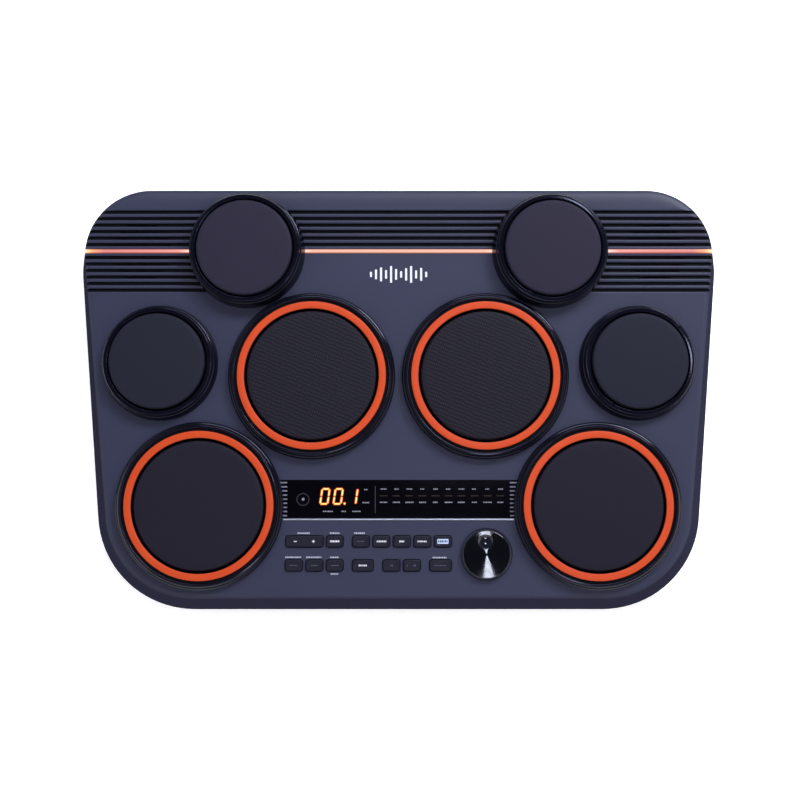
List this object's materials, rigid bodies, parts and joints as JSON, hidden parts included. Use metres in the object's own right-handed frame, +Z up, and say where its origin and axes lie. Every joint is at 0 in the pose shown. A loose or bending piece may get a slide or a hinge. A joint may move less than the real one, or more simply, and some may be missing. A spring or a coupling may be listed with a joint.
{
  "type": "electronic drum pad",
  "caption": "Tabletop electronic drum pad set with round rubber pads on a sloping case, a key panel with dial and display, and a battery bay underneath.",
  "frame": {"origin": "on the table under the middle of the case, at the underside of the rubber feet", "axes": "+X to the player's right, +Y away from the player, +Z up; the player sits on the -Y side and the deck rises towards +Y"},
  "size_m": [0.6002, 0.392, 0.1086],
  "materials": {
    "case_plastic": "satin",
    "rim_plastic": "gloss",
    "ring_plastic": "satin",
    "head_rubber": "matte",
    "inner_plastic": "matte",
    "foam": "matte",
    "key_plastic": "satin",
    "lens_plastic": "gloss",
    "light_guide": "glowing",
    "trim_metal": "brushed",
    "circuit_board": "satin",
    "steel": "plated",
    "foot_rubber": "matte",
    "dial_plastic": "spun gloss",
    "speaker_cone": "matte",
    "socket_plastic": "matte"
  },
  "bodies": {
    "case": {"battery_box": "inner_plastic", "battery_contacts": "steel", "bottom_case": "case_plastic", "case_screws": "steel", "centre_rims": "rim_plastic", "cymbal_rims": "rim_plastic", "display_lens": "lens_plastic", "display_module": "inner_plastic", "encoder_body": "inner_plastic", "key_board": "circuit_board", "key_switches": "inner_plastic", "light_boards": "circuit_board", "light_guides": "light_guide", "lower_rims": "rim_plastic", "main_board": "circuit_board", "pad_isolators": "foam", "pad_rings": "ring_plastic", "panel_trim": "trim_metal", "power_switch": "inner_plastic", "rear_sockets": "socket_plastic", "rubber_feet": "foot_rubber", "side_rims": "rim_plastic", "socket_tray": "socket_plastic", "speaker_left": "speaker_cone", "speaker_right": "speaker_cone", "top_case": "case_plastic"},
    "centre_left_pad": {"centre_left_head": "head_rubber", "centre_left_plate": "inner_plastic"},
    "centre_right_pad": {"centre_right_head": "head_rubber", "centre_right_plate": "inner_plastic"},
    "lower_left_pad": {"lower_left_head": "head_rubber", "lower_left_plate": "inner_plastic"},
    "lower_right_pad": {"lower_right_head": "head_rubber", "lower_right_plate": "inner_plastic"},
    "cymbal_left_pad": {"cymbal_left_head": "head_rubber", "cymbal_left_plate": "inner_plastic"},
    "cymbal_right_pad": {"cymbal_right_head": "head_rubber", "cymbal_right_plate": "inner_plastic"},
    "side_left_pad": {"side_left_head": "head_rubber", "side_left_plate": "inner_plastic"},
    "side_right_pad": {"side_right_head": "head_rubber", "side_right_plate": "inner_plastic"},
    "tempo_key": {"tempo_key": "key_plastic"},
    "kit_key": {"kit_key": "key_plastic"},
    "song_key": {"song_key": "key_plastic"},
    "voice_key": {"voice_key": "key_plastic"},
    "click_key": {"click_key": "key_plastic"},
    "record_key": {"record_key": "key_plastic"},
    "menu_key": {"menu_key": "key_plastic"},
    "effect_key": {"effect_key": "key_plastic"},
    "bank_key": {"bank_key": "key_plastic"},
    "start_key": {"start_key": "key_plastic"},
    "mute_key": {"mute_key": "key_plastic"},
    "solo_key": {"solo_key": "key_plastic"},
    "sampler_key": {"sampler_key": "key_plastic"},
    "volume_key": {"volume_key": "key_plastic"},
    "dial": {"dial_knob": "dial_plastic", "encoder_shaft": "steel"},
    "power_button": {"power_button": "socket_plastic"},
    "battery_door": {"battery_door": "case_plastic"}
  },
  "joints": [
    {"name": "centre_left_strike", "type": "slide", "parent": "case", "child": "centre_left_pad", "axis": [0, -0.1045, 0.9945], "range_m": [-0.0015, 0], "stiffness_N_per_m": 4000, "springref_m": 0.0005},
    {"name": "centre_right_strike", "type": "slide", "parent": "case", "child": "centre_right_pad", "axis": [0, -0.1045, 0.9945], "range_m": [-0.0015, 0], "stiffness_N_per_m": 4000, "springref_m": 0.0005},
    {"name": "lower_left_strike", "type": "slide", "parent": "case", "child": "lower_left_pad", "axis": [0, -0.1045, 0.9945], "range_m": [-0.0015, 0], "stiffness_N_per_m": 4000, "springref_m": 0.0005},
    {"name": "lower_right_strike", "type": "slide", "parent": "case", "child": "lower_right_pad", "axis": [0, -0.1045, 0.9945], "range_m": [-0.0015, 0], "stiffness_N_per_m": 4000, "springref_m": 0.0005},
    {"name": "cymbal_left_strike", "type": "slide", "parent": "case", "child": "cymbal_left_pad", "axis": [0, -0.1045, 0.9945], "range_m": [-0.0015, 0], "stiffness_N_per_m": 4000, "springref_m": 0.0005},
    {"name": "cymbal_right_strike", "type": "slide", "parent": "case", "child": "cymbal_right_pad", "axis": [0, -0.1045, 0.9945], "range_m": [-0.0015, 0], "stiffness_N_per_m": 4000, "springref_m": 0.0005},
    {"name": "side_left_strike", "type": "slide", "parent": "case", "child": "side_left_pad", "axis": [0, -0.1045, 0.9945], "range_m": [-0.0015, 0], "stiffness_N_per_m": 4000, "springref_m": 0.0005},
    {"name": "side_right_strike", "type": "slide", "parent": "case", "child": "side_right_pad", "axis": [0, -0.1045, 0.9945], "range_m": [-0.0015, 0], "stiffness_N_per_m": 4000, "springref_m": 0.0005},
    {"name": "tempo_key_press", "type": "slide", "parent": "case", "child": "tempo_key", "axis": [0, -0.1045, 0.9945], "range_m": [-0.001, 0], "stiffness_N_per_m": 1500, "springref_m": 0.0005},
    {"name": "kit_key_press", "type": "slide", "parent": "case", "child": "kit_key", "axis": [0, -0.1045, 0.9945], "range_m": [-0.001, 0], "stiffness_N_per_m": 1500, "springref_m": 0.0005},
    {"name": "song_key_press", "type": "slide", "parent": "case", "child": "song_key", "axis": [0, -0.1045, 0.9945], "range_m": [-0.001, 0], "stiffness_N_per_m": 1500, "springref_m": 0.0005},
    {"name": "voice_key_press", "type": "slide", "parent": "case", "child": "voice_key", "axis": [0, -0.1045, 0.9945], "range_m": [-0.001, 0], "stiffness_N_per_m": 1500, "springref_m": 0.0005},
    {"name": "click_key_press", "type": "slide", "parent": "case", "child": "click_key", "axis": [0, -0.1045, 0.9945], "range_m": [-0.001, 0], "stiffness_N_per_m": 1500, "springref_m": 0.0005},
    {"name": "record_key_press", "type": "slide", "parent": "case", "child": "record_key", "axis": [0, -0.1045, 0.9945], "range_m": [-0.001, 0], "stiffness_N_per_m": 1500, "springref_m": 0.0005},
    {"name": "menu_key_press", "type": "slide", "parent": "case", "child": "menu_key", "axis": [0, -0.1045, 0.9945], "range_m": [-0.001, 0], "stiffness_N_per_m": 1500, "springref_m": 0.0005},
    {"name": "effect_key_press", "type": "slide", "parent": "case", "child": "effect_key", "axis": [0, -0.1045, 0.9945], "range_m": [-0.001, 0], "stiffness_N_per_m": 1500, "springref_m": 0.0005},
    {"name": "bank_key_press", "type": "slide", "parent": "case", "child": "bank_key", "axis": [0, -0.1045, 0.9945], "range_m": [-0.001, 0], "stiffness_N_per_m": 1500, "springref_m": 0.0005},
    {"name": "start_key_press", "type": "slide", "parent": "case", "child": "start_key", "axis": [0, -0.1045, 0.9945], "range_m": [-0.001, 0], "stiffness_N_per_m": 1500, "springref_m": 0.0005},
    {"name": "mute_key_press", "type": "slide", "parent": "case", "child": "mute_key", "axis": [0, -0.1045, 0.9945], "range_m": [-0.001, 0], "stiffness_N_per_m": 1500, "springref_m": 0.0005},
    {"name": "solo_key_press", "type": "slide", "parent": "case", "child": "solo_key", "axis": [0, -0.1045, 0.9945], "range_m": [-0.001, 0], "stiffness_N_per_m": 1500, "springref_m": 0.0005},
    {"name": "sampler_key_press", "type": "slide", "parent": "case", "child": "sampler_key", "axis": [0, -0.1045, 0.9945], "range_m": [-0.001, 0], "stiffness_N_per_m": 1500, "springref_m": 0.0005},
    {"name": "volume_key_rock", "type": "hinge", "parent": "case", "child": "volume_key", "pos_m": [-0.085, -0.13663, 0.05462], "axis": [0, 0.9945, 0.1045], "range_deg": [-2.5, 2.5], "stiffness_Nm_per_rad": 0.15},
    {"name": "dial_turn", "type": "hinge", "parent": "case", "child": "dial", "pos_m": [0.0793, -0.14828, 0.05641], "axis": [0, -0.1045, 0.9945], "continuous": true},
    {"name": "power_button_press", "type": "slide", "parent": "case", "child": "power_button", "axis": [0, 1, 0], "range_m": [-0.0025, 0], "stiffness_N_per_m": 1200, "springref_m": 0.0006},
    {"name": "battery_door_lift_off", "type": "slide", "parent": "case", "child": "battery_door", "axis": [0, 0, -1], "range_m": [0, 0.06]}
  ]
}
